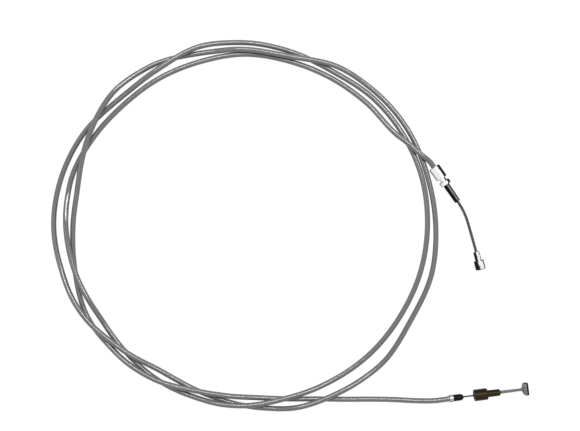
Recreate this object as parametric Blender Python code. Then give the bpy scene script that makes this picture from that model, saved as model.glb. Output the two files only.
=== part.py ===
# Throttle cable: a sheathed Bowden cable that lies in a loose coil of two and two thirds turns.
# Metres, +Z up. It lies on z = 0, and the origin is under the middle of the whole cable.
# End A carries the barrel ferrule, the guide tube and a stepped nipple.
# End B carries the crimp ring, the cap, a loose stepped stop and a hammer-shaped head.

from math import cos, pi, radians, sin

import bmesh
import bpy
from mathutils import Matrix, Vector

MM = 0.001

# Fits
GAP = 0.3 * MM              # between pieces that touch on the real cable
FLOOR_GAP = 0.05 * MM       # under a round fitting that lies on the surface

# Casing, from the outside in
CASING_DIA = 5.0 * MM
JACKET_WALL = 0.7 * MM
CONDUIT_CLEARANCE = 0.2 * MM
CONDUIT_WALL = 0.55 * MM
WIRE_DIA = 1.5 * MM
TUBE_SIDES_RESOLUTION = 2   # eight sides

# Coil: radius in millimetres about its middle, a value every RADIUS_STEP degrees, counter-clockwise
COIL_MIDDLE = Vector((-41.8, 0.4, 0.0)) * MM
RADIUS_START = 30
RADIUS_STEP = 15
RADII = (
    165.2, 161.1, 159.2, 158.6, 159.7, 158.4, 158.8, 159.7, 163.6, 168.0, 166.4, 163.8,
    160.5, 162.5, 166.1, 167.7, 167.9, 165.4, 166.7, 167.8, 168.3, 169.8, 170.6, 171.2,
    170.2, 168.5, 165.4, 167.6, 170.5, 171.1, 165.7, 166.6, 173.3, 177.3, 178.9, 176.3,
    171.8, 162.6, 157.5, 161.4, 168.9, 176.2, 178.8, 182.1, 178.8, 180.4, 178.3, 176.6,
    176.4, 174.3, 170.5, 162.3, 163.3, 166.1, 172.6, 173.7, 167.2, 160.4, 160.8, 164.6,
    170.5, 169.2, 166.1, 160.3, 160.4, 168.3,
)
SAMPLE_START = 36
SAMPLE_STEP = 12            # the same angles on every turn, so that neighbouring turns stay apart

# Where a turn lies on another: first and last angle at full height, counted on from RADIUS_START
LIFTS = ((30, 32), (180, 204), (264, 288), (465, 480), (564, 588), (648, 660), (780, 810), (855, 880),
         (951, 984))
LIFT_RAMP = 12
LIFT_HEIGHT = CASING_DIA + GAP

# Ends: where the casing enters its fitting, and the direction of the fitting
END_A_PLACE = (134.5, 54.2)
END_A_HEADING = -55.3
END_B_PLACE = (148.7, -161.3)
END_B_HEADING = 7.1

# Route between the coil and the two ends, in millimetres
LEAD_IN = ((130.6, 59.3, 6.2), (125.2, 63.6, 7.6), (118.6, 68.8, 8.1), (111.8, 74.8, 8.1), (106.2, 79.4, 7.8))
TAIL = ((32.0, -162.2, 2.5), (50.7, -162.5, 2.5), (74.0, -162.4, 2.5), (97.0, -162.6, 3.3), (115.0, -163.3, 4.7))

# End A: barrel ferrule, turned in one piece, and the guide tube in its front
BARREL_DIA = 10.9 * MM
BARREL_LENGTH = 12.6 * MM
BARREL_BEVEL = 0.5 * MM
FERRULE_BORE_DEPTH = 9.5 * MM
NECK_DIA = 6.2 * MM
NECK_LENGTH = 3.0 * MM
COLLAR_DIA = 10.8 * MM
COLLAR_LENGTH = 4.2 * MM
COLLAR_ROUND = 1.2 * MM
TUBE_ROOT_DIA = 6.0 * MM
TUBE_TIP_DIA = 5.5 * MM
TUBE_LENGTH = 18.8 * MM
TUBE_SEAT_DEPTH = 3.0 * MM
TUBE_TIP_BEVEL = 0.4 * MM

# End A: the thick flexible end of the wire, and its nipple
WIRE_A_DIA = 2.8 * MM
WIRE_A_ROUTE = ((42.2, -0.1, 0.0), (48.9, -0.7, -0.1), (54.7, -1.8, -0.2), (66.5, -5.4, -0.55),
                (76.0, -8.6, -0.75), (87.2, -12.5, -0.8))
NIPPLE_TURN = -19.5
NIPPLE_SMALL_DIA = 5.8 * MM
NIPPLE_SMALL_LENGTH = 8.4 * MM
NIPPLE_LARGE_DIA = 9.3 * MM
NIPPLE_LARGE_LENGTH = 8.6 * MM
NIPPLE_BEVEL = 1.0 * MM
NIPPLE_EDGE = 0.5 * MM
NIPPLE_SOCKET_DEPTH = 4.0 * MM

# End B: crimp ring and cap on the casing
RING_LENGTH = 3.6 * MM
RING_WALL = 0.55 * MM
RING_LIP = 0.3 * MM
CAP_DIA = 6.1 * MM
CAP_LENGTH = 9.2 * MM
CAP_TAPER_LENGTH = 2.1 * MM
CAP_TIP_DIA = 3.4 * MM
CASING_IN_CAP = 4.4 * MM

# End B: loose stop
STOP_DISTANCE = 10.1 * MM   # from the cap's tip to the stop
STOP_WIDE_DIA = 10.8 * MM
STOP_WIDE_LENGTH = 12.6 * MM
STOP_SHOULDER = 1.1 * MM
STOP_EDGE = 0.4 * MM
STOP_NARROW_DIA = 6.6 * MM
STOP_TIP_DIA = 6.2 * MM
STOP_NARROW_LENGTH = 11.8 * MM
STOP_TIP_ROUND = 0.7 * MM
STOP_SOCKET_DEPTH = 7.5 * MM
STOP_SOCKET_CLEARANCE = 0.4 * MM

# End B: wire, sleeve and hammer head
WIRE_B_INSIDE = 9.1 * MM    # length of the moving wire behind the cap's tip
SLEEVE_DIA = 3.2 * MM
SLEEVE_WALL = 0.6 * MM
SLEEVE_IN_STOP = 2.5 * MM
SLEEVE_OUT_OF_STOP = 21.4 * MM
SLEEVE_IN_HEAD = 3.0 * MM
HEAD_SPAN = 11.5 * MM
HEAD_THICKNESS = 5.4 * MM
HEAD_HEIGHT = 5.6 * MM
HEAD_BACK_SPAN = 6.4 * MM
HEAD_BACK_STEP = 2.6 * MM
HEAD_EDGE = 0.7 * MM
HEAD_NECK_DIA = 5.0 * MM
HEAD_NECK_LENGTH = 1.6 * MM

# Stroke of the wire, and the play left when the stop's socket seats over the cap
WIRE_STROKE = 20.0 * MM
SEAT_PLAY = 0.4 * MM

ROUND_SIDES = 24
SMALL_SIDES = 16

# Sizes that follow
CASING_RADIUS = CASING_DIA / 2
JACKET_BORE_RADIUS = CASING_RADIUS - JACKET_WALL
CONDUIT_RADIUS = JACKET_BORE_RADIUS - CONDUIT_CLEARANCE
CASING_SOCKET_RADIUS = CASING_RADIUS + GAP
FLAT_SHARE = cos(pi / SMALL_SIDES)      # how near the flats of a faceted bore come to its axis

END_A_HEIGHT = BARREL_DIA / 2 + FLOOR_GAP
END_B_HEIGHT = STOP_WIDE_DIA / 2 + FLOOR_GAP
CASING_END_A = FERRULE_BORE_DEPTH - GAP
COLLAR_START = BARREL_LENGTH + NECK_LENGTH
COLLAR_END = COLLAR_START + COLLAR_LENGTH
TUBE_START = COLLAR_END - TUBE_SEAT_DEPTH + GAP
TUBE_END = COLLAR_END + TUBE_LENGTH
WIRE_A_START = FERRULE_BORE_DEPTH + GAP
WIRE_A_BORE_RADIUS = (WIRE_A_DIA / 2 + GAP) / FLAT_SHARE
WIRE_A_END = Vector(WIRE_A_ROUTE[-1]) * MM

CAP_START = RING_LENGTH + GAP
CAP_END = CAP_START + CAP_LENGTH
CASING_END_B = CAP_START + CASING_IN_CAP
STOP_START = CAP_END + STOP_DISTANCE
STOP_END = STOP_START + STOP_WIDE_LENGTH + STOP_NARROW_LENGTH
STOP_TRAVEL = STOP_DISTANCE + STOP_SOCKET_DEPTH - SEAT_PLAY
STOP_BORE_RADIUS = (SLEEVE_DIA / 2 + GAP) / FLAT_SHARE
STOP_SOCKET_RADIUS = CAP_DIA / 2 + STOP_SOCKET_CLEARANCE
WIRE_B_START = CAP_END - WIRE_B_INSIDE
SLEEVE_START = STOP_END - SLEEVE_IN_STOP
HEAD_START = STOP_END + SLEEVE_OUT_OF_STOP
SLEEVE_END = HEAD_START + SLEEVE_IN_HEAD
RUN_END_B = WIRE_B_START - WIRE_STROKE - GAP
STRAIGHT_END_B = RUN_END_B - GAP


def clear_scene():
    for thing in list(bpy.data.objects):
        bpy.data.objects.remove(thing, do_unlink=True)


def material(name, colour, roughness, metallic=0.0):
    made = bpy.data.materials.new(name)
    made.use_nodes = True
    shader = made.node_tree.nodes["Principled BSDF"]
    shader.inputs["Base Color"].default_value = (*colour, 1.0)
    shader.inputs["Roughness"].default_value = roughness
    shader.inputs["Metallic"].default_value = metallic
    return made


def end_frame(place, height, heading):
    """A frame at a fitting: its +X points out of the casing, along the fitting."""
    spot = Vector((place[0] * MM, place[1] * MM, height))
    return Matrix.Translation(spot) @ Matrix.Rotation(radians(heading), 4, "Z")


END_A = end_frame(END_A_PLACE, END_A_HEIGHT, END_A_HEADING)
END_B = end_frame(END_B_PLACE, END_B_HEIGHT, END_B_HEADING)


def add_object(name, data, finish, place=None, parent=None):
    made = bpy.data.objects.new(name, data)
    bpy.context.scene.collection.objects.link(made)
    data.materials.append(finish)
    if parent is not None:
        made.parent = parent
    if place is not None:
        made.matrix_local = place
    return made


def add_axis(name, frame, travel):
    """An empty on a sliding piece's axis: the piece slides along its X, between two distances."""
    empty = bpy.data.objects.new(name, None)
    empty["travel"] = travel
    bpy.context.scene.collection.objects.link(empty)
    empty.matrix_world = frame
    return empty


def lift(angle):
    """Height of a turn above the surface where it lies on another turn."""
    share = 0.0
    for first, last in LIFTS:
        outside = max(first - angle, angle - last, 0.0)
        t = max(0.0, 1.0 - outside / LIFT_RAMP)
        share = max(share, t * t * (3.0 - 2.0 * t))
    return LIFT_HEIGHT * share


def smooth_point(points, place):
    """The point at a fractional place in a list, on a cubic curve through all of them."""
    last = len(points) - 1
    i = min(int(place), last - 1)
    t = place - i
    length = (points[i + 1] - points[i]).length

    def tangent(k):
        if k == 0:
            return (points[1] - points[0]).normalized()
        if k == last:
            return (points[last] - points[last - 1]).normalized()
        before = points[k] - points[k - 1]
        after = points[k + 1] - points[k]
        weighted = before * (after.length / before.length) + after * (before.length / after.length)
        return weighted / (before.length + after.length)

    start_pull = tangent(i) * length
    end_pull = tangent(i + 1) * length
    return (points[i] * (2 * t ** 3 - 3 * t ** 2 + 1) + start_pull * (t ** 3 - 2 * t ** 2 + t)
            + points[i + 1] * (3 * t ** 2 - 2 * t ** 3) + end_pull * (t ** 3 - t ** 2))


def coil_point(radius, angle):
    turned = Vector((cos(radians(angle)), sin(radians(angle)), 0.0)) * radius * MM
    return COIL_MIDDLE + turned + Vector((0.0, 0.0, CASING_RADIUS + lift(angle)))


def casing_route(end_b):
    """Centreline of the casing, from inside the barrel ferrule to a distance along end B."""
    lead = [END_A @ Vector((along, 0.0, 0.0)) for along in (CASING_END_A, 0.0)]
    lead += [Vector(point) * MM for point in LEAD_IN]
    coil = [coil_point(radius, RADIUS_START + RADIUS_STEP * k) for k, radius in enumerate(RADII)]
    tail = [Vector(point) * MM for point in TAIL]
    tail += [END_B @ Vector((along, 0.0, 0.0)) for along in (STRAIGHT_END_B, end_b)]
    guide = lead + coil + tail

    route = lead[:]
    coil_end = RADIUS_START + RADIUS_STEP * (len(RADII) - 1)
    angle = SAMPLE_START
    while angle <= coil_end:
        place = len(lead) + (angle - RADIUS_START) / RADIUS_STEP
        route.append(smooth_point(guide, place))
        route[-1].z = CASING_RADIUS + lift(angle)
        angle += SAMPLE_STEP
    return route + tail


def run_of_tube(name, points, radius, finish, wall=0.0, parent=None):
    """A tube or rod along a line of points, as a curve; with a wall it is hollow and open ended."""
    curve = bpy.data.curves.new(name, "CURVE")
    curve.dimensions = "3D"
    curve.twist_mode = "Z_UP"
    curve.bevel_depth = radius
    curve.bevel_resolution = TUBE_SIDES_RESOLUTION
    curve.use_fill_caps = wall == 0.0
    spline = curve.splines.new("POLY")
    spline.points.add(len(points) - 1)
    for spot, point in zip(spline.points, points):
        spot.co = (*point, 1.0)
    made = add_object(name, curve, finish, parent=parent)
    if wall > 0.0:
        shell = made.modifiers.new("Wall", "SOLIDIFY")
        shell.thickness = wall
        shell.offset = -1.0
        shell.use_even_offset = True
    return made


def turned(name, outline, frame, finish, sides=ROUND_SIDES, parent=None):
    """A turned piece: a closed outline of (distance along +X, radius), spun about +X."""
    mesh = bmesh.new()
    ring = [mesh.verts.new((along, radius, 0.0)) for along, radius in outline]
    edges = [mesh.edges.new((ring[k], ring[(k + 1) % len(ring)])) for k in range(len(ring))]
    bmesh.ops.spin(mesh, geom=ring + edges, axis=(1, 0, 0), cent=(0, 0, 0), angle=2 * pi,
                   steps=sides, use_merge=True, use_duplicate=False)
    bmesh.ops.remove_doubles(mesh, verts=mesh.verts, dist=0.001 * MM)
    bmesh.ops.dissolve_degenerate(mesh, edges=mesh.edges, dist=0.0005 * MM)
    bmesh.ops.recalc_face_normals(mesh, faces=mesh.faces)
    if mesh.calc_volume(signed=True) < 0.0:
        bmesh.ops.reverse_faces(mesh, faces=mesh.faces)
    data = bpy.data.meshes.new(name)
    mesh.to_mesh(data)
    mesh.free()
    data.shade_smooth()
    data.set_sharp_from_angle(angle=radians(30))
    return add_object(name, data, finish, place=frame, parent=parent)


def round_corner(along, radius, size, towards, steps=3):
    """Points of a quarter round between the face at `along` and the outside at `radius`."""
    points = []
    for k in range(steps + 1):
        a = pi / 2 * k / steps
        points.append((along - towards * size * (1 - sin(a)), radius - size * (1 - cos(a))))
    return points if towards > 0 else points[::-1]


def make_casing():
    jacket = material("grey_sheath", (0.22, 0.22, 0.22), 0.45)
    steel = material("conduit_steel", (0.45, 0.45, 0.45), 0.4, 1.0)
    wire = material("wire_steel", (0.3, 0.3, 0.3), 0.4, 1.0)
    route = casing_route(CASING_END_B)
    run_of_tube("casing_jacket", route, CASING_RADIUS, jacket, wall=JACKET_WALL)
    run_of_tube("spiral_conduit", route, CONDUIT_RADIUS, steel, wall=CONDUIT_WALL)
    run_of_tube("inner_wire_run", casing_route(RUN_END_B), WIRE_DIA / 2, wire)


def make_barrel_ferrule():
    plated = material("bright_plate", (0.8, 0.8, 0.78), 0.2, 1.0)
    barrel = BARREL_DIA / 2
    collar = COLLAR_DIA / 2
    seat = TUBE_ROOT_DIA / 2 + GAP
    outline = [(0.0, CASING_SOCKET_RADIUS), (0.0, barrel - BARREL_BEVEL), (BARREL_BEVEL, barrel),
               (BARREL_LENGTH - BARREL_BEVEL, barrel), (BARREL_LENGTH, barrel - BARREL_BEVEL),
               (BARREL_LENGTH, NECK_DIA / 2), (COLLAR_START, NECK_DIA / 2)]
    outline += round_corner(COLLAR_START, collar, COLLAR_ROUND, -1)
    outline += round_corner(COLLAR_END, collar, COLLAR_ROUND, 1)
    outline += [(COLLAR_END, seat), (COLLAR_END - TUBE_SEAT_DEPTH, seat),
                (COLLAR_END - TUBE_SEAT_DEPTH, WIRE_A_BORE_RADIUS),
                (FERRULE_BORE_DEPTH, WIRE_A_BORE_RADIUS), (FERRULE_BORE_DEPTH, CASING_SOCKET_RADIUS)]
    turned("barrel_ferrule", outline, END_A, plated)


def make_guide_tube():
    dark = material("dark_steel", (0.12, 0.12, 0.115), 0.35, 1.0)
    root = TUBE_ROOT_DIA / 2
    tip = TUBE_TIP_DIA / 2
    outline = [(TUBE_START, WIRE_A_BORE_RADIUS), (TUBE_START, root), (COLLAR_END + GAP, root),
               (TUBE_END - TUBE_TIP_BEVEL, tip), (TUBE_END, tip - TUBE_TIP_BEVEL),
               (TUBE_END, WIRE_A_BORE_RADIUS)]
    turned("guide_tube", outline, END_A, dark)


def make_wire_end_a():
    rope = material("rope_steel", (0.16, 0.16, 0.15), 0.4, 1.0)
    plated = material("nipple_plate", (0.78, 0.78, 0.76), 0.22, 1.0)
    axis = add_axis("wire_end_a_axis", END_A, (0.0, WIRE_STROKE))
    nipple_frame = Matrix.Translation(WIRE_A_END) @ Matrix.Rotation(radians(NIPPLE_TURN), 4, "Z")

    guide = [Vector((along, 0.0, 0.0)) for along in (WIRE_A_START, TUBE_END)]
    guide += [Vector(point) * MM for point in WIRE_A_ROUTE]
    points = guide[:1]
    for k in range(1, len(guide) - 1):
        points += [smooth_point(guide, k), smooth_point(guide, k + 0.5)]
    points.append(guide[-1])
    points.append(nipple_frame @ Vector((NIPPLE_SOCKET_DEPTH, 0.0, 0.0)))
    run_of_tube("wire_a", points, WIRE_A_DIA / 2, rope, parent=axis)

    small = NIPPLE_SMALL_DIA / 2
    large = NIPPLE_LARGE_DIA / 2
    step = NIPPLE_SMALL_LENGTH
    end = step + NIPPLE_LARGE_LENGTH
    socket = NIPPLE_SOCKET_DEPTH + GAP
    outline = [(0.0, WIRE_A_BORE_RADIUS), (0.0, small - NIPPLE_EDGE), (NIPPLE_EDGE, small),
               (step, small), (step, large - NIPPLE_EDGE), (step + NIPPLE_EDGE, large),
               (end - NIPPLE_BEVEL, large), (end, large - NIPPLE_BEVEL), (end, 0.0),
               (socket, 0.0), (socket, WIRE_A_BORE_RADIUS)]
    turned("nipple_a", outline, nipple_frame, plated, parent=axis)


def make_casing_end_b():
    plated = material("ring_plate", (0.62, 0.62, 0.6), 0.35, 1.0)
    black = material("black_plastic", (0.012, 0.012, 0.013), 0.4)
    ring = CASING_SOCKET_RADIUS + RING_WALL
    outline = [(0.0, CASING_SOCKET_RADIUS), (0.0, ring), (RING_LIP, ring + RING_LIP),
               (2 * RING_LIP, ring + RING_LIP), (3 * RING_LIP, ring), (RING_LENGTH, ring),
               (RING_LENGTH, CASING_SOCKET_RADIUS)]
    turned("crimp_ring_b", outline, END_B, plated)

    cap = CAP_DIA / 2
    shoulder = CASING_END_B + GAP
    hole = WIRE_DIA / 2 + GAP
    outline = [(CAP_START, CASING_SOCKET_RADIUS), (CAP_START, cap), (CAP_END - CAP_TAPER_LENGTH, cap),
               (CAP_END, CAP_TIP_DIA / 2), (CAP_END, hole), (shoulder, hole),
               (shoulder, CASING_SOCKET_RADIUS)]
    turned("end_cap_b", outline, END_B, black)


def make_stop():
    brown = material("brown_plastic", (0.06, 0.025, 0.015), 0.25)
    axis = add_axis("stop_b_axis", END_B, (-STOP_TRAVEL, 0.0))
    wide = STOP_WIDE_DIA / 2
    narrow = STOP_NARROW_DIA / 2
    tip = STOP_TIP_DIA / 2
    shoulder = STOP_START + STOP_WIDE_LENGTH
    socket = STOP_START + STOP_SOCKET_DEPTH
    outline = [(STOP_START, STOP_SOCKET_RADIUS), (STOP_START, wide - STOP_EDGE),
               (STOP_START + STOP_EDGE, wide), (shoulder - STOP_SHOULDER, wide),
               (shoulder, wide - STOP_SHOULDER), (shoulder, narrow)]
    outline += round_corner(STOP_END, tip, STOP_TIP_ROUND, 1)
    outline += [(STOP_END, STOP_BORE_RADIUS), (socket, STOP_BORE_RADIUS), (socket, STOP_SOCKET_RADIUS)]
    turned("cable_stop", outline, Matrix.Identity(4), brown, parent=axis)


def make_head(finish, parent):
    """The hammer head: a plan outline with a narrower back, raised to its height and bevelled."""
    half = HEAD_SPAN / 2
    back = HEAD_BACK_SPAN / 2
    plan = ((0.0, -back), (HEAD_BACK_STEP, -half), (HEAD_THICKNESS, -half),
            (HEAD_THICKNESS, half), (HEAD_BACK_STEP, half), (0.0, back))
    mesh = bmesh.new()
    base = mesh.faces.new([mesh.verts.new((HEAD_START + x, y, -HEAD_HEIGHT / 2)) for x, y in plan])
    raised = bmesh.ops.extrude_face_region(mesh, geom=[base])
    top = [v for v in raised["geom"] if isinstance(v, bmesh.types.BMVert)]
    bmesh.ops.translate(mesh, verts=top, vec=(0.0, 0.0, HEAD_HEIGHT))
    bmesh.ops.recalc_face_normals(mesh, faces=mesh.faces)
    bmesh.ops.bevel(mesh, geom=mesh.edges[:], offset=HEAD_EDGE, offset_type="OFFSET", segments=2,
                    profile=0.5, affect="EDGES", material=-1)
    data = bpy.data.meshes.new("hammer_head")
    mesh.to_mesh(data)
    mesh.free()
    head = add_object("hammer_head", data, finish, place=Matrix.Identity(4), parent=parent)

    neck = turned("head_neck", [(HEAD_START - HEAD_NECK_LENGTH, 0.0),
                                (HEAD_START - HEAD_NECK_LENGTH, HEAD_NECK_DIA / 2 - HEAD_EDGE),
                                (HEAD_START + HEAD_EDGE, HEAD_NECK_DIA / 2),
                                (HEAD_START + HEAD_EDGE, 0.0)],
                  Matrix.Identity(4), finish, SMALL_SIDES, parent)
    bore_radius = (SLEEVE_DIA / 2 + GAP) / FLAT_SHARE
    bore = turned("head_bore", [(HEAD_START - 2 * HEAD_NECK_LENGTH, 0.0),
                                (HEAD_START - 2 * HEAD_NECK_LENGTH, bore_radius),
                                (SLEEVE_END + GAP, bore_radius), (SLEEVE_END + GAP, 0.0)],
                  Matrix.Identity(4), finish, SMALL_SIDES, parent)
    for cutter, operation in ((neck, "UNION"), (bore, "DIFFERENCE")):
        cutter.hide_render = True
        cutter.display_type = "WIRE"
        joined = head.modifiers.new(operation.title(), "BOOLEAN")
        joined.operation = operation
        joined.object = cutter


def make_wire_end_b():
    wire = material("thin_wire_steel", (0.25, 0.25, 0.24), 0.4, 1.0)
    sleeve_steel = material("sleeve_steel", (0.35, 0.36, 0.34), 0.45, 1.0)
    zinc = material("cast_zinc", (0.42, 0.42, 0.41), 0.5, 1.0)
    axis = add_axis("wire_end_b_axis", END_B, (-WIRE_STROKE, 0.0))
    sleeve = SLEEVE_DIA / 2
    bore = sleeve - SLEEVE_WALL
    along = (WIRE_B_START, SLEEVE_END - GAP)
    run_of_tube("wire_b", [Vector((x, 0.0, 0.0)) for x in along], WIRE_DIA / 2, wire, parent=axis)
    outline = [(SLEEVE_START, bore), (SLEEVE_START, sleeve), (SLEEVE_END, sleeve), (SLEEVE_END, bore)]
    turned("wire_sleeve_b", outline, Matrix.Identity(4), sleeve_steel, SMALL_SIDES, parent=axis)
    make_head(zinc, axis)


clear_scene()
make_casing()
make_barrel_ferrule()
make_guide_tube()
make_wire_end_a()
make_casing_end_b()
make_stop()
make_wire_end_b()
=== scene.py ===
# %% [markdown]
# # Throttle cable
# This is a control cable for a small engine, laid down in a loose coil of two and two thirds turns.
# A wire slides inside a steel spiral, and the spiral is covered by a grey plastic sheath. At one end
# the casing sits in a plated ferrule, and the wire comes out of a steel tube and ends in a nipple.
# At the other end it is closed by a ring and a cap, and the wire carries a loose brown stop and a
# cast head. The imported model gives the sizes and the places. Here each piece gets its real surface.
#
# Lengths are in metres and written as a number of MM. The corners of outlines, the points of routes
# and the ends of spans are written in millimetres, and turned into metres where they are used.

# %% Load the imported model
from math import cos, pi, radians, sin

import bmesh
import bpy
from mathutils import Matrix, Vector


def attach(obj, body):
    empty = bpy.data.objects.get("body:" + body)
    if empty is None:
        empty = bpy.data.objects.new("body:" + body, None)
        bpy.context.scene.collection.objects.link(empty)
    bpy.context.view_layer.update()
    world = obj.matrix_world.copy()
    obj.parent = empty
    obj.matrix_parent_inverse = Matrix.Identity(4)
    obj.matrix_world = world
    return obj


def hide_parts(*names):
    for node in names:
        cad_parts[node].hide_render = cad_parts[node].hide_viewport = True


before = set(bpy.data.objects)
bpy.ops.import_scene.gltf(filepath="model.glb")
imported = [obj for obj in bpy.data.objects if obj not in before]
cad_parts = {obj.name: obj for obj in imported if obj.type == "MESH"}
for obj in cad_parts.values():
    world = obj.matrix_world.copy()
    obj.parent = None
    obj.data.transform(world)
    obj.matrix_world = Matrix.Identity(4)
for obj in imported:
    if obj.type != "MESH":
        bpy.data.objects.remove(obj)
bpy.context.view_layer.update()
MM = 0.001

# %% [markdown]
# ## Camera
# The photograph looks straight down on the cable. Its straight tail is 5.35 pixels wide and really
# 5 mm, so a pixel is 0.935 mm. From that the lens follows, once the camera's height is chosen. The
# height was read from the end faces of the fittings, which lean a little away from the middle.

# %% Camera over the middle of the photograph
PHOTO_WIDTH_PX = 580
MM_PER_PX = 0.935
CAMERA_HEIGHT = 900 * MM
SENSOR_WIDTH = 36.0
CASING_RADIUS = 2.5 * MM
PHOTO_MIDDLE = (0.25 * MM, 9.3 * MM)

camera_data = bpy.data.cameras.new("camera")
camera_data.sensor_width = SENSOR_WIDTH
camera_data.lens = SENSOR_WIDTH * CAMERA_HEIGHT / (PHOTO_WIDTH_PX * MM_PER_PX * MM)
camera = bpy.data.objects.new("camera", camera_data)
camera.location = (*PHOTO_MIDDLE, CAMERA_HEIGHT + CASING_RADIUS)
bpy.context.scene.collection.objects.link(camera)
bpy.context.scene.camera = camera
bpy.context.scene.view_settings.view_transform = "Standard"
print(f"lens {camera_data.lens:.1f} mm")

# %% [markdown]
# ## Small helpers for materials
# Node trees are long when they are written out, so a few short helpers add a node, join two sockets
# and mix two colours. A value that is the same all over a piece is set on the shader's own socket.

# %% Helpers for node trees
def add_node(tree, kind, **values):
    """A new node with some of its properties set."""
    node = tree.nodes.new(kind)
    for name, value in values.items():
        setattr(node, name, value)
    return node


def join(tree, source, target):
    """Joins a node's output to another node's input."""
    tree.links.new(source, target)


def calculate(tree, operation, first, second=0.0, third=0.0):
    """A Math node. Each input is a number or another node's output."""
    node = add_node(tree, "ShaderNodeMath", operation=operation)
    for socket, value in zip(node.inputs, (first, second, third)):
        if isinstance(value, (int, float)):
            socket.default_value = value
        else:
            join(tree, value, socket)
    return node.outputs[0]


def object_place(tree):
    """The place on the object, in metres."""
    return add_node(tree, "ShaderNodeTexCoord").outputs["Object"]


def between(tree, mask, low, high):
    """Turns a mask of 0 to 1 into a value from low to high."""
    node = add_node(tree, "ShaderNodeMapRange")
    join(tree, mask, node.inputs["Value"])
    node.inputs["To Min"].default_value = low
    node.inputs["To Max"].default_value = high
    return node.outputs[0]


def mix_colour(tree, mask, first, second):
    """Mixes two colours by a mask. Each colour is three numbers or another node's output."""
    node = add_node(tree, "ShaderNodeMix", data_type="RGBA")
    join(tree, mask, node.inputs[0])
    for socket, value in ((node.inputs[6], first), (node.inputs[7], second)):
        if isinstance(value, tuple):
            socket.default_value = (*value, 1.0)
        else:
            join(tree, value, socket)
    return node.outputs[2]


def scaled(colour, factor):
    """A colour made darker or lighter, and never above white."""
    return tuple(min(channel * factor, 1.0) for channel in colour)


def new_finish(name, colour, roughness, metallic=0.0, **sockets):
    """A material with a Principled shader, and its node tree."""
    made = bpy.data.materials.new(name)
    made.use_nodes = True
    tree = made.node_tree
    shader = tree.nodes["Principled BSDF"]
    shader.inputs["Base Color"].default_value = (*colour, 1.0)
    shader.inputs["Roughness"].default_value = roughness
    shader.inputs["Metallic"].default_value = metallic
    for socket, value in sockets.items():
        shader.inputs[socket.replace("_", " ")].default_value = value
    return made, tree, shader


def new_group(name, inputs, outputs):
    """A shader node group with named number or vector inputs, and named outputs."""
    group = bpy.data.node_groups.new(name, "ShaderNodeTree")
    for label, value in inputs.items():
        kind = "NodeSocketVector" if isinstance(value, tuple) else "NodeSocketFloat"
        socket = group.interface.new_socket(name=label, in_out="INPUT", socket_type=kind)
        socket.default_value = value
    for label in outputs:
        group.interface.new_socket(name=label, in_out="OUTPUT", socket_type="NodeSocketFloat")
    start = add_node(group, "NodeGroupInput")
    end = add_node(group, "NodeGroupOutput")
    return group, start.outputs, end.inputs


def use_group(tree, group, **values):
    """Places a group in a material. Values are numbers, vectors or other nodes' outputs."""
    node = add_node(tree, "ShaderNodeGroup", node_tree=group)
    for label, value in values.items():
        socket = node.inputs[label.replace("_", " ")]
        if isinstance(value, bpy.types.NodeSocket):
            join(tree, value, socket)
        else:
            socket.default_value = value
    return node.outputs


def bump(tree, shader, height, distance, strength=1.0):
    """Raises the surface by a height of 0 to 1 times the distance."""
    node = add_node(tree, "ShaderNodeBump")
    node.inputs["Distance"].default_value = distance
    node.inputs["Strength"].default_value = strength
    join(tree, height, node.inputs["Height"])
    join(tree, node.outputs["Normal"], shader.inputs["Normal"])


# %% [markdown]
# ## Floor and light
# The photograph's ground is pure white, and its light is soft and comes from above, a little from
# the top of the picture. A white floor throws a lot of light back on the sides of a thin cable, so
# the floor is plain grey for diffuse light and white for the camera and for what metal reflects. A
# part of what the camera sees is still the lit floor, which keeps a faint shadow under the cable.
# The world is made in the same way: dim as a light, and white where it is seen or mirrored.

# %% White floor
FLOOR_DROP = 0.05 * MM
FLOOR_SIZE = 8.0
FLOOR_GREY = 0.45
WHITE_STRENGTH = 1.21
WHITE_SHARE = 0.8

floor_mesh = bmesh.new()
bmesh.ops.create_grid(floor_mesh, x_segments=1, y_segments=1, size=FLOOR_SIZE / 2)
bmesh.ops.translate(floor_mesh, verts=floor_mesh.verts, vec=(0.0, 0.0, -FLOOR_DROP))
floor_data = bpy.data.meshes.new("floor")
floor_mesh.to_mesh(floor_data)
floor_mesh.free()
floor = bpy.data.objects.new("floor", floor_data)
bpy.context.scene.collection.objects.link(floor)

floor_finish = bpy.data.materials.new("white_floor")
floor_finish.use_nodes = True
tree = floor_finish.node_tree
tree.nodes.clear()
lit = add_node(tree, "ShaderNodeBsdfDiffuse")
lit.inputs["Color"].default_value = (FLOOR_GREY, FLOOR_GREY, FLOOR_GREY, 1.0)
white = add_node(tree, "ShaderNodeEmission")
white.inputs["Strength"].default_value = WHITE_STRENGTH
rays = add_node(tree, "ShaderNodeLightPath").outputs
seen = calculate(tree, "MAXIMUM", rays["Is Camera Ray"], rays["Is Glossy Ray"])
seen = calculate(tree, "MAXIMUM", seen, rays["Is Transmission Ray"])
share = calculate(tree, "MULTIPLY", seen, WHITE_SHARE)
mixed = add_node(tree, "ShaderNodeMixShader")
join(tree, share, mixed.inputs[0])
join(tree, lit.outputs[0], mixed.inputs[1])
join(tree, white.outputs[0], mixed.inputs[2])
surface = add_node(tree, "ShaderNodeOutputMaterial")
join(tree, mixed.outputs[0], surface.inputs["Surface"])
floor_data.materials.append(floor_finish)

# %% Soft light
WORLD_LEVEL = 0.25
SEEN_LEVEL = 1.0
LIGHT_AIM = Vector((0.0, 0.0, 0.0))
KEY_PLACE = (0.12, 0.5, 1.3)
KEY_SIZE = (1.4, 0.3)
KEY_POWER = 17.0
FILL_PLACE = (-0.9, -0.2, 1.2)
FILL_SIZE = (0.5, 0.5)
FILL_POWER = 1.0


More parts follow.
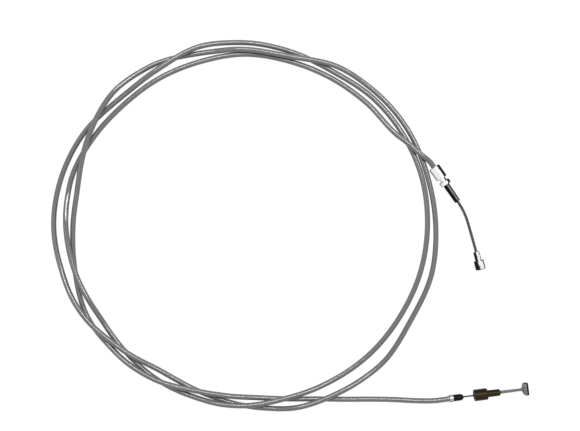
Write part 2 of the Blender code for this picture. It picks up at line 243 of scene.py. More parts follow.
def softbox(name, place, size, power):
    """A rectangular lamp that points at the middle of the scene."""
    light = bpy.data.lights.new(name, "AREA")
    light.shape = "RECTANGLE"
    light.size, light.size_y = size
    light.energy = power
    lamp = bpy.data.objects.new(name, light)
    lamp.location = place
    lamp.rotation_euler = (LIGHT_AIM - Vector(place)).to_track_quat("-Z", "Y").to_euler()
    bpy.context.scene.collection.objects.link(lamp)


world = bpy.data.worlds.new("studio")
world.use_nodes = True
tree = world.node_tree
sky = tree.nodes["Background"]
sky.inputs["Color"].default_value = (1.0, 1.0, 1.0, 1.0)
rays = add_node(tree, "ShaderNodeLightPath").outputs
seen = calculate(tree, "MAXIMUM", rays["Is Camera Ray"], rays["Is Glossy Ray"])
join(tree, between(tree, seen, WORLD_LEVEL, SEEN_LEVEL), sky.inputs["Strength"])
bpy.context.scene.world = world
softbox("key_softbox", KEY_PLACE, KEY_SIZE, KEY_POWER)
softbox("fill_softbox", FILL_PLACE, FILL_SIZE, FILL_POWER)

# %% [markdown]
# ## Shared surface effects
# Each effect is a node group that is built once: a fine grain, the marks that a lathe leaves,
# painted shade that darkens the flanks of a fitting turned away from its lit side, and edges that
# have rubbed bright. A group only puts out masks and heights. Each material decides what they do to it.

# %% Fine grain
FINE_PER_COARSE = 5.0
FINE_SHARE = 0.4

grain, inputs, outputs = new_group("fine_grain", {"Vector": (0.0, 0.0, 0.0), "Size": 1.0 * MM},
                                   ("Tone", "Height"))
scale = calculate(grain, "DIVIDE", 1.0, inputs["Size"])
coarse = add_node(grain, "ShaderNodeTexNoise")
coarse.inputs["Detail"].default_value = 3.0
join(grain, inputs["Vector"], coarse.inputs["Vector"])
join(grain, scale, coarse.inputs["Scale"])
fine = add_node(grain, "ShaderNodeTexNoise")
fine.inputs["Detail"].default_value = 2.0
join(grain, inputs["Vector"], fine.inputs["Vector"])
join(grain, calculate(grain, "MULTIPLY", scale, FINE_PER_COARSE), fine.inputs["Scale"])
tone = calculate(grain, "MULTIPLY_ADD", fine.outputs[0], FINE_SHARE,
                 calculate(grain, "MULTIPLY", coarse.outputs[0], 1 - FINE_SHARE))
join(grain, tone, outputs["Tone"])
join(grain, fine.outputs[0], outputs["Height"])

# %% Lathe marks
GROOVE_DEPTH = 0.2

lathe, inputs, outputs = new_group("lathe_marks", {"Vector": (0.0, 0.0, 0.0), "Pitch": 0.25 * MM},
                                   ("Tone", "Height"))
along = add_node(lathe, "ShaderNodeSeparateXYZ")
join(lathe, inputs["Vector"], along.inputs[0])
turns = calculate(lathe, "DIVIDE", along.outputs["X"], inputs["Pitch"])
uneven = add_node(lathe, "ShaderNodeTexNoise", noise_dimensions="1D")
uneven.inputs["Scale"].default_value = 1.0
uneven.inputs["Detail"].default_value = 2.0
join(lathe, turns, uneven.inputs["W"])
groove = calculate(lathe, "SINE", calculate(lathe, "MULTIPLY", turns, 2.0 * pi))
depth = calculate(lathe, "MULTIPLY_ADD", groove, GROOVE_DEPTH, uneven.outputs[0])
join(lathe, uneven.outputs[0], outputs["Tone"])
join(lathe, depth, outputs["Height"])

# %% Painted flank shade
RAGGEDNESS = 0.25

# Painted shade: the mask is 1 on normals turned away from the lit side, with a ragged edge.
shade_group, inputs, outputs = new_group("painted_flank_shade", {"Wiped Side": (0.0, 0.0, 1.0), "Edge": 0.5,
                                                "Softness": 0.2, "Patch Size": 3.0 * MM}, ("Mask",))
facing = add_node(shade_group, "ShaderNodeVectorMath", operation="DOT_PRODUCT")
join(shade_group, add_node(shade_group, "ShaderNodeNewGeometry").outputs["Normal"], facing.inputs[0])
join(shade_group, inputs["Wiped Side"], facing.inputs[1])
patches = add_node(shade_group, "ShaderNodeTexNoise")
patches.inputs["Detail"].default_value = 3.0
join(shade_group, object_place(shade_group), patches.inputs["Vector"])
join(shade_group, calculate(shade_group, "DIVIDE", 1.0, inputs["Patch Size"]), patches.inputs["Scale"])
patchy = calculate(shade_group, "SUBTRACT", patches.outputs[0], 0.5)
ragged = calculate(shade_group, "MULTIPLY_ADD", patchy, RAGGEDNESS, facing.outputs["Value"])
limit = add_node(shade_group, "ShaderNodeMapRange", interpolation_type="SMOOTHSTEP")
join(shade_group, ragged, limit.inputs["Value"])
join(shade_group, calculate(shade_group, "SUBTRACT", inputs["Edge"], inputs["Softness"]), limit.inputs["From Min"])
join(shade_group, calculate(shade_group, "ADD", inputs["Edge"], inputs["Softness"]), limit.inputs["From Max"])
limit.inputs["To Min"].default_value = 1.0
limit.inputs["To Max"].default_value = 0.0
join(shade_group, limit.outputs[0], outputs["Mask"])

# %% Rubbed edges
SMOOTH_LIKENESS = 0.995
EDGE_LIKENESS = 0.9

rubbed, inputs, outputs = new_group("rubbed_edges", {"Width": 0.25 * MM, "Amount": 1.0}, ("Mask",))
softened = add_node(rubbed, "ShaderNodeBevel", samples=6)
join(rubbed, inputs["Width"], softened.inputs["Radius"])
alike = add_node(rubbed, "ShaderNodeVectorMath", operation="DOT_PRODUCT")
join(rubbed, softened.outputs[0], alike.inputs[0])
join(rubbed, add_node(rubbed, "ShaderNodeNewGeometry").outputs["Normal"], alike.inputs[1])
edge = add_node(rubbed, "ShaderNodeMapRange")
join(rubbed, alike.outputs["Value"], edge.inputs["Value"])
edge.inputs["From Min"].default_value = SMOOTH_LIKENESS
edge.inputs["From Max"].default_value = EDGE_LIKENESS
join(rubbed, calculate(rubbed, "MULTIPLY", edge.outputs[0], inputs["Amount"]), outputs["Mask"])

# %% [markdown]
# ## Route of the casing
# The casing is one smooth line. The coil is written as a radius for every 15 degrees about its
# middle, read from the photograph. Where one turn lies on another it is lifted by its own diameter,
# in a long low hump. Between the written points a cubic curve runs through all of them.

# %% Route: the numbers
CASING_DIA = 5.0 * MM
PASS_GAP = 0.3 * MM
COIL_MIDDLE = Vector((-41.8, 0.4, 0.0)) * MM
RADIUS_START = 30
RADIUS_STEP = 15
RADII = (
    165.2, 161.1, 159.2, 158.6, 159.7, 158.4, 158.8, 159.7, 163.6, 168.0, 166.4, 163.8,
    160.5, 162.5, 166.1, 167.7, 167.9, 165.4, 166.7, 167.8, 168.3, 169.8, 170.6, 171.2,
    170.2, 168.5, 165.4, 167.6, 170.5, 171.1, 165.7, 166.6, 173.3, 177.3, 178.9, 176.3,
    171.8, 162.6, 157.5, 161.4, 168.9, 176.2, 178.8, 182.1, 178.8, 180.4, 178.3, 176.6,
    176.4, 174.3, 170.5, 162.3, 163.3, 166.1, 172.6, 173.7, 167.2, 160.4, 160.8, 164.6,
    170.5, 169.2, 166.1, 160.3, 160.4, 168.3,
)
LIFTS = (
    (30, 32), (180, 204), (264, 288), (465, 480), (564, 588), (648, 660), (780, 810), (855, 880),
    (951, 984),
)
LIFT_RAMP = 12
LEAD_IN = (
    (130.6, 59.3, 6.2), (125.2, 63.6, 7.6), (118.6, 68.8, 8.1), (111.8, 74.8, 8.1), (106.2, 79.4, 7.8),
)
TAIL = (
    (32.0, -162.2, 2.5), (50.7, -162.5, 2.5), (74.0, -162.4, 2.5), (97.0, -162.6, 3.3),
    (115.0, -163.3, 4.7),
)

# %% [markdown]
# Each end has its own frame: its X runs out of the casing, along the fittings. Everything at that
# end is built along X and then put in place, so its outline stays easy to read.

# %% Frames of the two ends
def end_frame(x, y, z, heading):
    """A frame at a place in millimetres, turned about Z by a heading in degrees."""
    return Matrix.Translation(Vector((x, y, z)) * MM) @ Matrix.Rotation(radians(heading), 4, "Z")


END_A = end_frame(134.5, 54.2, 5.5, -55.3)
END_B = end_frame(148.7, -161.3, 5.45, 7.1)
CASING_END_A = 9.2 * MM
CASING_END_B = 8.3 * MM
STRAIGHT_END_B = -16.6 * MM
RUN_END_B = -16.3 * MM


def lift(angle):
    """Height of a turn above the surface where it lies on another turn."""
    share = 0.0
    for first, last in LIFTS:
        outside = max(first - angle, angle - last, 0.0)
        t = max(0.0, 1.0 - outside / LIFT_RAMP)
        share = max(share, t * t * (3.0 - 2.0 * t))
    return (CASING_DIA + PASS_GAP) * share


def smooth_point(points, place):
    """The point at a fractional place in a list, on a cubic curve through all of them."""
    last = len(points) - 1
    i = min(int(place), last - 1)
    t = place - i
    length = (points[i + 1] - points[i]).length

    def tangent(k):
        if k == 0:
            return (points[1] - points[0]).normalized()
        if k == last:
            return (points[last] - points[last - 1]).normalized()
        before = points[k] - points[k - 1]
        after = points[k + 1] - points[k]
        weighted = before * (after.length / before.length) + after * (before.length / after.length)
        return weighted / (before.length + after.length)

    start_pull = tangent(i) * length
    end_pull = tangent(i + 1) * length
    return (points[i] * (2 * t ** 3 - 3 * t ** 2 + 1) + start_pull * (t ** 3 - 2 * t ** 2 + t)
            + points[i + 1] * (3 * t ** 2 - 2 * t ** 3) + end_pull * (t ** 3 - t ** 2))


# %% The casing's line, a point about every three millimetres
STEPS_PER_RADIUS = 15
STEPS_PER_POINT = 6

lead = [END_A @ Vector((along, 0.0, 0.0)) for along in (CASING_END_A, 0.0)]
lead += [Vector(point) * MM for point in LEAD_IN]
coil = []
for k, radius in enumerate(RADII):
    angle = RADIUS_START + RADIUS_STEP * k
    turned_by = radians(angle)
    coil.append(COIL_MIDDLE + Vector((cos(turned_by), sin(turned_by), 0.0)) * radius * MM
                + Vector((0.0, 0.0, CASING_RADIUS + lift(angle))))
tail = [Vector(point) * MM for point in TAIL]
tail += [END_B @ Vector((along, 0.0, 0.0)) for along in (STRAIGHT_END_B, CASING_END_B)]
guide = lead + coil + tail

casing_line = []
for i in range(len(guide) - 1):
    in_coil = len(lead) <= i < len(lead) + len(coil) - 1
    steps = STEPS_PER_RADIUS if in_coil else STEPS_PER_POINT
    for step in range(steps):
        point = smooth_point(guide, i + step / steps)
        if in_coil:
            angle = RADIUS_START + RADIUS_STEP * (i - len(lead) + step / steps)
            point.z = CASING_RADIUS + lift(angle)
        casing_line.append(point)
casing_line.append(guide[-1])


def line_length(points):
    return sum((after - before).length for before, after in zip(points, points[1:]))


# %% [markdown]
# ## Finish of the sheath
# The sheath is extruded grey plastic over a steel spiral. It is smooth with a satin gloss, has a
# fine grain, and the spiral underneath shows through as very faint rings. The grain and the rings
# have to follow the cable, so each point of the tube stores where it would be if the cable were
# pulled straight, and the patterns read that attribute instead of the place in space.

# %% Grey sheath
RING_PITCH = 1.6 * MM
WAVE_SCALE = pi / 10          # a wave texture of scale 1 repeats after this length

grey_sheath, tree, shader = new_finish("grey_sheath", (0.13, 0.13, 0.132), 0.2,
                                       Specular_IOR_Level=1.0)
straight = add_node(tree, "ShaderNodeAttribute", attribute_name="straight")
specks = use_group(tree, grain, Vector=straight.outputs["Vector"], Size=1.2 * MM)
smears = use_group(tree, grain, Vector=straight.outputs["Vector"], Size=14.0 * MM)
colour = mix_colour(tree, between(tree, specks["Tone"], -0.4, 1.4), (0.1, 0.1, 0.101),
                    (0.145, 0.145, 0.147))
colour = mix_colour(tree, between(tree, smears["Tone"], -0.6, 0.5), colour, (0.105, 0.107, 0.108))
join(tree, colour, shader.inputs["Base Color"])
join(tree, between(tree, smears["Tone"], 0.12, 0.2), shader.inputs["Roughness"])
rings = add_node(tree, "ShaderNodeTexWave", wave_type="BANDS", bands_direction="Z")
rings.inputs["Scale"].default_value = WAVE_SCALE / RING_PITCH
rings.inputs["Distortion"].default_value = 0.0
join(tree, straight.outputs["Vector"], rings.inputs["Vector"])
relief = calculate(tree, "MULTIPLY_ADD", rings.outputs["Fac"], 0.25, specks["Height"])
bump(tree, shader, relief, 0.002 * MM, 0.1)

# %% [markdown]
# ## Casing
# A cord could be a curve with a round bevel. A swept mesh is used here because it can store the
# straightened place of each point. One circle is extruded along the line, step by step, and a
# Solidify modifier gives the tube the sheath's wall, since the wire runs through it.

# %% Sweep a circle along a line
def line_frames(points):
    """A frame at each point: Z along the line, and Y as far up as it can be."""
    frames = []
    for k, point in enumerate(points):
        ahead = (points[min(k + 1, len(points) - 1)] - points[max(k - 1, 0)]).normalized()
        side = ahead.cross(Vector((0.0, 0.0, 1.0))).normalized()
        turn = Matrix((side, side.cross(ahead) * -1.0, ahead)).transposed()
        frames.append(Matrix.Translation(point) @ turn.to_4x4())
    return frames


def sweep(points, radius, sides):
    """A tube round a line, with the attribute `straight` on its points."""
    mesh = bmesh.new()
    straight_layer = mesh.verts.layers.float_vector.new("straight")
    frames = line_frames(points)
    ring = bmesh.ops.create_circle(mesh, radius=radius, segments=sides)["verts"]
    for vert in ring:
        vert[straight_layer] = vert.co
    bmesh.ops.transform(mesh, matrix=frames[0], verts=ring)
    edges = mesh.edges[:]
    walked = 0.0
    for before, after, start, end in zip(frames, frames[1:], points, points[1:]):
        length = (end - start).length
        walked += length
        grown = bmesh.ops.extrude_edge_only(mesh, edges=edges)["geom"]
        ring = [item for item in grown if isinstance(item, bmesh.types.BMVert)]
        edges = [item for item in grown if isinstance(item, bmesh.types.BMEdge)]
        bmesh.ops.transform(mesh, matrix=after @ before.inverted(), verts=ring)
        for vert in ring:
            old = vert[straight_layer]
            vert[straight_layer] = (old[0], old[1], walked)
    bmesh.ops.recalc_face_normals(mesh, faces=mesh.faces)
    return mesh


def add_piece(name, mesh, finish, body, slot, *nodes):
    """Puts a finished mesh in the scene, on its body, in place of the CAD nodes it stands for."""
    data = bpy.data.meshes.new(name)
    mesh.to_mesh(data)
    mesh.free()
    data.materials.append(finish)
    data.shade_smooth()
    piece = bpy.data.objects.new(name, data)
    bpy.context.scene.collection.objects.link(piece)
    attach(piece, body)
    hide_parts(*nodes)
    print(f"{name}: {len(data.polygons)} faces")
    return piece


def give_wall(piece, thickness):
    """Makes a swept tube hollow: its wall grows inwards from the swept surface."""
    wall = piece.modifiers.new("wall", "SOLIDIFY")
    wall.thickness = thickness
    wall.offset = -1.0


# %% The grey casing
SHEATH_WALL = 0.7 * MM
SHEATH_SIDES = 24

casing_sheath = add_piece("casing_sheath", sweep(casing_line, CASING_RADIUS, SHEATH_SIDES), grey_sheath,
                          "casing", "sheath", "casing_jacket")
give_wall(casing_sheath, SHEATH_WALL)

# %% [markdown]
# ## Turned fittings
# Every fitting but the head was turned on a lathe, so each one is an outline spun about its axis.
# An outline corner has a distance along the axis, a radius, and how far the corner is rounded. The
# outline is spun first and its rings are bevelled afterwards. Rounding matters more than it seems:
# no turned edge is razor sharp, and the thin bright lines on metal come from its small roundings.

# %% Spin an outline
TURN_STEPS = 72
ROUND_SEGMENTS = 4
SAME_PLACE = 0.001 * MM


def round_edges(mesh, edges, width, segments):
    """Rounds edges with a bevel of the given width."""
    bmesh.ops.bevel(mesh, geom=edges, offset=width, offset_type="OFFSET", segments=segments,
                    profile=0.5, affect="EDGES", clamp_overlap=True, material=-1)


def spin_outline(outline):
    """A turned shape about X. Corners are (distance, radius, rounding) in millimetres."""
    mesh = bmesh.new()
    corners = [mesh.verts.new((along * MM, radius * MM, 0.0)) for along, radius, _ in outline]
    edges = []
    for k in range(len(corners)):
        if outline[k - 1][1] > 0.0 or outline[k][1] > 0.0:
            edges.append(mesh.edges.new((corners[k - 1], corners[k])))
    bmesh.ops.spin(mesh, geom=corners + edges, cent=(0.0, 0.0, 0.0), axis=(1.0, 0.0, 0.0), angle=2 * pi,
                   steps=TURN_STEPS, use_merge=True, use_duplicate=False)
    bmesh.ops.remove_doubles(mesh, verts=mesh.verts, dist=SAME_PLACE)
    bmesh.ops.recalc_face_normals(mesh, faces=mesh.faces)
    if mesh.calc_volume(signed=True) < 0.0:
        bmesh.ops.reverse_faces(mesh, faces=mesh.faces)
    for along, radius, rounding in outline:
        if rounding == 0.0:
            continue
        ring = [edge for edge in mesh.edges if all(
            abs(vert.co.x - along * MM) < SAME_PLACE and abs(vert.co.yz.length - radius * MM) < SAME_PLACE
            for vert in edge.verts)]
        round_edges(mesh, ring, rounding * MM, ROUND_SEGMENTS)
    return mesh


def turned(name, outline, place, finish, body, slot, *nodes):
    """A turned fitting: its outline is spun, put in place and added to the scene."""
    mesh = spin_outline(outline)
    bmesh.ops.transform(mesh, matrix=place, verts=mesh.verts)
    piece = add_piece(name, mesh, finish, body, slot, *nodes)
    flat = piece.modifiers.new("flat faces", "WEIGHTED_NORMAL")
    flat.keep_sharp = True
    return piece


def along_axis(tree, place):
    """Object coordinates turned so that X runs along a fitting's axis."""
    mapping = add_node(tree, "ShaderNodeMapping", vector_type="TEXTURE")
    mapping.inputs["Location"].default_value = place.to_translation()
    mapping.inputs["Rotation"].default_value = place.to_euler()
    join(tree, object_place(tree), mapping.inputs["Vector"])
    return mapping.outputs["Vector"]


# %% [markdown]
# ## End A: the plated ferrule
# The ferrule is bright plated steel, turned in one piece: a barrel that takes the casing, a groove
# for the bracket, and a rounded collar. Bright plating is nearly a mirror. What makes it look real
# is the fine turning marks, edges rubbed brighter, and painted shade: a dark band on the flanks away
# from the lit side, which stands in for dark reflections. Where the shade lies, its mask turns the
# surface from metal to a dark non-metal.

# %% Plated metal
LATHE_PITCH = 0.22 * MM
SHADE_PATCH = 2.5 * MM
WORN_WIDTH = 0.2 * MM
WORN_AMOUNT = 0.6


def plated_metal(name, place, colour, dark, lit_side, shade_edge, roughness, shade_softness=0.12):
    """Turned metal at a fitting's place, with painted shade on all but its lit side."""
    made, tree, shader = new_finish(name, colour, roughness, 1.0, IOR=1.2, Specular_IOR_Level=0.1)
    marks = use_group(tree, lathe, Vector=along_axis(tree, place), Pitch=LATHE_PITCH)
    painted_shade = use_group(tree, shade_group, Wiped_Side=Vector(lit_side).normalized(), Edge=shade_edge,
                    Softness=shade_softness, Patch_Size=SHADE_PATCH)["Mask"]
    worn = use_group(tree, rubbed, Width=WORN_WIDTH, Amount=WORN_AMOUNT)["Mask"]
    base = mix_colour(tree, marks["Tone"], scaled(colour, 0.86), scaled(colour, 1.08))
    # Painted shade: the flanks away from the lit side get the dark colour.
    base = mix_colour(tree, painted_shade, base, dark)
    base = mix_colour(tree, worn, base, scaled(colour, 1.15))
    join(tree, base, shader.inputs["Base Color"])
    # Under the painted shade the surface is not metal, so it stays dark.
    join(tree, calculate(tree, "SUBTRACT", 1.0, painted_shade), shader.inputs["Metallic"])
    join(tree, between(tree, painted_shade, roughness, roughness + 0.15), shader.inputs["Roughness"])
    bump(tree, shader, marks["Height"], 0.006 * MM, 0.5)
    return made


bright_plate = plated_metal("bright_plate", END_A, (0.86, 0.86, 0.84), (0.02, 0.02, 0.02),
                            (-0.5, -0.33, 0.8), 0.5, 0.16)

# %% Barrel, groove and collar
BARREL_FERRULE = (
    (0.0, 2.8, 0.1), (0.0, 5.45, 0.55), (12.6, 5.45, 0.55), (12.6, 3.1, 0.15),
    (15.6, 3.1, 0.15), (15.6, 5.4, 1.2), (19.8, 5.4, 1.2), (19.8, 3.3, 0.1),
    (16.8, 3.3, 0.0), (16.8, 1.75, 0.0), (9.5, 1.75, 0.0), (9.5, 2.8, 0.0),
)
turned("ferrule", BARREL_FERRULE, END_A, bright_plate, "casing", "bright_plate", "barrel_ferrule")

# %% [markdown]
# ## End A: the guide tube
# The tube that guides the wire is dark blued steel. It is a little thinner at its tip, and the tip's
# edge is broken. A long grey highlight lies on it, and painted shade makes its flanks nearly black.

# %% Dark steel tube
# Painted shade: only a narrow stripe on the lit side stays metal, the rest is darkened.
dark_steel = plated_metal("dark_steel", END_A, (0.11, 0.11, 0.105), (0.009, 0.009, 0.008),
                          (0.27, 0.18, 0.95), 0.945, 0.3, 0.035)
GUIDE_TUBE = (
    (17.1, 1.75, 0.0), (17.1, 3.0, 0.0), (20.1, 3.0, 0.0), (38.6, 2.75, 0.4), (38.6, 1.75, 0.15),
)
turned("guide_tube_skin", GUIDE_TUBE, END_A, dark_steel, "casing", "dark_steel", "guide_tube")

# %% [markdown]
# ## Twisted wire
# The wire is a rope of thin wires. Each strand follows the wire's line as a helix, and each thin wire
# is a helix about its strand. A flat picture of a twist could be painted with bump, but its edge
# would stay a straight line, and the scalloped edge is what tells the eye that this is rope. So every
# wire is real: a curve with a round bevel, made into one mesh.

# %% Lay wires round a line
FINE_STEPS = 40
STRAND_OFFSET = 0.13          # each strand is turned by this share of a turn against the one before


def even_points(points, spacing):
    """Points at an even spacing along a smooth line through `points`."""
    fine = [smooth_point(points, k / FINE_STEPS) for k in range(FINE_STEPS * (len(points) - 1) + 1)]
    total = line_length(fine)
    count = max(2, round(total / spacing))
    made = [fine[0]]
    walked = 0.0
    for before, after in zip(fine, fine[1:]):
        step = (after - before).length
        while len(made) < count and walked + step >= total * len(made) / count:
            made.append(before.lerp(after, (total * len(made) / count - walked) / step))
        walked += step
    made.append(fine[-1])
    return made


def helix(points, turn_radius, lay, start):
    """A line that winds about another. turn_radius may change from its start to its end."""
    made = []
    walked = 0.0
    for k, place in enumerate(line_frames(points)):
        if k > 0:
            walked += (points[k] - points[k - 1]).length
        share = k / (len(points) - 1)
        radius = turn_radius[0] + (turn_radius[1] - turn_radius[0]) * share
        angle = 2 * pi * (walked / lay + start)
        made.append(place @ Vector((radius * cos(angle), radius * sin(angle), 0.0)))
    return made


def wires_to_mesh(name, lines, radii, resolution):
    """One bmesh of round wires along many lines. Each radius is a pair, start and end."""
    curve = bpy.data.curves.new(name, "CURVE")
    curve.dimensions = "3D"
    curve.bevel_depth = 1.0
    curve.bevel_resolution = resolution
    curve.use_fill_caps = True
    for points, (first, last) in zip(lines, radii):
        spline = curve.splines.new("POLY")
        spline.points.add(len(points) - 1)
        for k, point in enumerate(points):
            spline.points[k].co = (*point, 1.0)
            spline.points[k].radius = first + (last - first) * k / (len(points) - 1)
    maker = bpy.data.objects.new(name, curve)
    data = bpy.data.meshes.new_from_object(maker)
    mesh = bmesh.new()
    mesh.from_mesh(data)
    bpy.data.objects.remove(maker)
    bpy.data.curves.remove(curve)
    bpy.data.meshes.remove(data)
    return mesh


def strand_lines(points, count, turn_radius, lay, wire_count, wire_turn, wire_lay):
    """The lines of all wires in a rope: a wire in the middle of each strand and others round it."""
    middles = [helix(points, turn_radius, lay, k / count) for k in range(count)]
    around = []
    for k, middle in enumerate(middles):
        for j in range(wire_count):
            start = j / wire_count + k * STRAND_OFFSET
            around.append(helix(middle, wire_turn, -wire_lay, start))
    return middles, around


# %% [markdown]
# ## Finish of the wires
# The rope is drawn steel that has gone dark with oil. Painted shade makes the grooves between the
# wires nearly black, so the wires that stand out look brighter. The shade is found with an ambient
# occlusion mask, which looks from each point for other wires close by.

# %% Wire steel
def wire_steel(name, colour, groove_shade, roughness, reach):
    """Oily wire, with painted shade in the grooves where another wire is nearer than the reach."""
    made, tree, shader = new_finish(name, colour, roughness, 1.0)
    specks = use_group(tree, grain, Vector=object_place(tree), Size=0.8 * MM)
    open_sky = add_node(tree, "ShaderNodeAmbientOcclusion", samples=8, only_local=True)
    open_sky.inputs["Distance"].default_value = reach
    base = mix_colour(tree, specks["Tone"], scaled(colour, 0.7), scaled(colour, 1.25))
    # Painted shade: where ambient occlusion finds other wires close by, the colour turns dark.
    groove = calculate(tree, "POWER", open_sky.outputs["AO"], 1.6)
    base = mix_colour(tree, groove, groove_shade, base)
    join(tree, base, shader.inputs["Base Color"])
    join(tree, between(tree, specks["Tone"], roughness - 0.08, roughness + 0.12),
         shader.inputs["Roughness"])
    return made


rope_steel = wire_steel("rope_steel", (0.13, 0.13, 0.123), (0.006, 0.006, 0.005), 0.36, 0.5 * MM)

# %% [markdown]
# ## End A: the thick end of the wire
# Between the guide tube and the nipple the wire is a 2.8 mm rope of six strands, seven wires each.
# It starts inside the ferrule, comes out of the tube and bends down to the nipple. Both ends are
# held, and it is stiff, so it stands just above the surface.

# %% Rope at end A
WIRE_A_LINE = (
    (9.8, 0.0, 0.0), (38.6, 0.0, 0.0), (42.2, -0.1, 0.0), (48.9, -0.7, -0.1), (54.7, -1.8, -0.2),
    (66.5, -5.4, -0.55), (76.0, -8.6, -0.75), (87.2, -12.5, -0.8),
)
NIPPLE_TURN = -19.5
NIPPLE_SOCKET = 3.9
WIRE_A_RADIUS = 1.4 * MM
STRAND_RADIUS = WIRE_A_RADIUS / 3
THIN_RADIUS = STRAND_RADIUS / 3
STRAND_LAY = 14.5 * MM
THIN_LAY = 6.0 * MM
STRANDS = 6
WIRES_ROUND = 6
MIDDLE_THICKER = 1.15
ROPE_SPACING = 0.5 * MM

nipple_place = END_A @ Matrix.Translation(Vector(WIRE_A_LINE[-1]) * MM) @ Matrix.Rotation(
    radians(NIPPLE_TURN), 4, "Z")
wire_a_guide = [END_A @ (Vector(point) * MM) for point in WIRE_A_LINE]
wire_a_guide.append(nipple_place @ Vector((NIPPLE_SOCKET * MM, 0.0, 0.0)))
wire_a_path = even_points(wire_a_guide, ROPE_SPACING)
strand_turn = (WIRE_A_RADIUS - STRAND_RADIUS,) * 2
middles, around = strand_lines(wire_a_path, STRANDS, strand_turn, STRAND_LAY,
                               WIRES_ROUND, (2 * THIN_RADIUS,) * 2, THIN_LAY)
lines = [wire_a_path] + middles + around
radii = [(STRAND_RADIUS,) * 2]
radii += [(THIN_RADIUS * MIDDLE_THICKER,) * 2] * len(middles)
radii += [(THIN_RADIUS,) * 2] * len(around)
rope_a = add_piece("rope_a", wires_to_mesh("rope_a", lines, radii, 1), rope_steel, "wire_end_a", "rope",
                   "wire_a")
print(f"wire at end A: {line_length(wire_a_path) / MM:.1f} mm")

# %% [markdown]
# ## End A: the nipple
# The nipple is a stepped plated slug that hooks into the throttle lever. The wire is soldered into
# its thin end. Its far end has a broad chamfer.

# %% Stepped nipple
# Painted shade darkens the nipple's flanks away from its lit side.
nipple_plate = plated_metal("nipple_plate", nipple_place, (0.86, 0.86, 0.84), (0.02, 0.02, 0.02),
                            (0.22, 0.06, 0.97), 0.87, 0.18, 0.07)
NIPPLE = (
    (0.0, 1.75, 0.1), (0.0, 2.9, 0.5), (8.4, 2.9, 0.15), (8.4, 4.65, 0.6), (17.0, 4.65, 1.1),
    (17.0, 0.0, 0.0), (4.3, 0.0, 0.0), (4.3, 1.75, 0.0),
)
nipple = turned("nipple", NIPPLE, nipple_place, nipple_plate, "wire_end_a", "nipple_plate", "nipple_a")

# %% [markdown]
# ## End B: ring and cap
# The casing ends in a narrow metal ring with a small lip, crimped on, and a black plastic cap with a
# tapered tip. The ring's plating is greyer and duller than the ferrule's.

# %% Crimped ring
# Painted shade darkens the ring away from its lit side.
ring_plate = plated_metal("ring_plate", END_B, (0.42, 0.42, 0.405), (0.05, 0.05, 0.05),
                          (0.0, 0.3, 0.95), 0.3, 0.3, 0.3)
RING = (
    (0.0, 2.8, 0.0), (0.0, 3.35, 0.1), (0.3, 3.65, 0.12), (0.6, 3.65, 0.12), (0.9, 3.35, 0.1),
    (3.6, 3.35, 0.15), (3.6, 2.8, 0.0),
)
ring_b = turned("ring_b", RING, END_B, ring_plate, "casing", "ring", "crimp_ring_b")

# %% Black cap
cap_black, tree, shader = new_finish("cap_black", (0.005, 0.005, 0.005), 0.45, IOR=1.25,
                                     Specular_IOR_Level=0.3)
scuffs = use_group(tree, grain, Vector=object_place(tree), Size=1.6 * MM)
join(tree, mix_colour(tree, scuffs["Tone"], (0.003, 0.003, 0.0032), (0.008, 0.008, 0.008)),
     shader.inputs["Base Color"])
join(tree, between(tree, scuffs["Tone"], 0.3, 0.55), shader.inputs["Roughness"])
bump(tree, shader, scuffs["Height"], 0.02 * MM, 0.5)
CAP = (
    (3.9, 2.8, 0.0), (3.9, 3.05, 0.15), (11.0, 3.05, 0.25), (13.1, 1.7, 0.2), (13.1, 1.05, 0.1),
    (8.6, 1.05, 0.0), (8.6, 2.8, 0.0),
)
cap_b = turned("cap_b", CAP, END_B, cap_black, "casing", "cap", "end_cap_b")

# %% [markdown]
# ## End B: thin wire and its thicker stretch
# A 1.5 mm wire comes out of the cap and runs through the stop. Beyond the stop it is laid round with
# more strands, 3.2 mm across at the stop and thinner towards the head.

# %% Wires at end B
THIN_WIRE_RADIUS = 0.75 * MM
THIN_WIRE_SPAN = (4.0, 71.7)
THIN_WIRE_LAY = 9.0 * MM
THIN_WIRE_SPACING = 0.75
SLEEVE_SPAN = (45.1, 72.0)
SLEEVE_SPACING = 0.5
SLEEVE_STRANDS = 8
SLEEVE_TURN = (1.18 * MM, 0.95 * MM)
SLEEVE_LAY = 46.0 * MM
SLEEVE_WIRE_TURN = (0.28 * MM, 0.18 * MM)
SLEEVE_WIRE_LAY = 30.0 * MM
SLEEVE_MIDDLE_RADIUS = (0.16 * MM, 0.11 * MM)
SLEEVE_WIRE_RADIUS = (0.14 * MM, 0.095 * MM)

thin_wire_steel = wire_steel("thin_wire_steel", (0.06, 0.06, 0.058), (0.008, 0.008, 0.008), 0.4, 0.3 * MM)
sleeve_steel = wire_steel("sleeve_steel", (0.23, 0.235, 0.23), (0.08, 0.082, 0.08), 0.4, 1.2 * MM)


def on_end_b(start, end, spacing):
    """Points along the axis of end B, all in millimetres."""
    count = round((end - start) / spacing)
    places = [start + (end - start) * k / count for k in range(count + 1)]
    return [END_B @ Vector((along * MM, 0.0, 0.0)) for along in places]


thin_path = on_end_b(*THIN_WIRE_SPAN, THIN_WIRE_SPACING)
thin_turn = (THIN_WIRE_RADIUS * 2 / 3,) * 2
thin_lines = [thin_path]
thin_lines += [helix(thin_path, thin_turn, THIN_WIRE_LAY, k / WIRES_ROUND) for k in range(WIRES_ROUND)]
thin_radii = [(THIN_WIRE_RADIUS / 3,) * 2] * len(thin_lines)
add_piece("thin_wire", wires_to_mesh("thin_wire", thin_lines, thin_radii, 1), thin_wire_steel,
          "wire_end_b", "thin_wire", "wire_b")

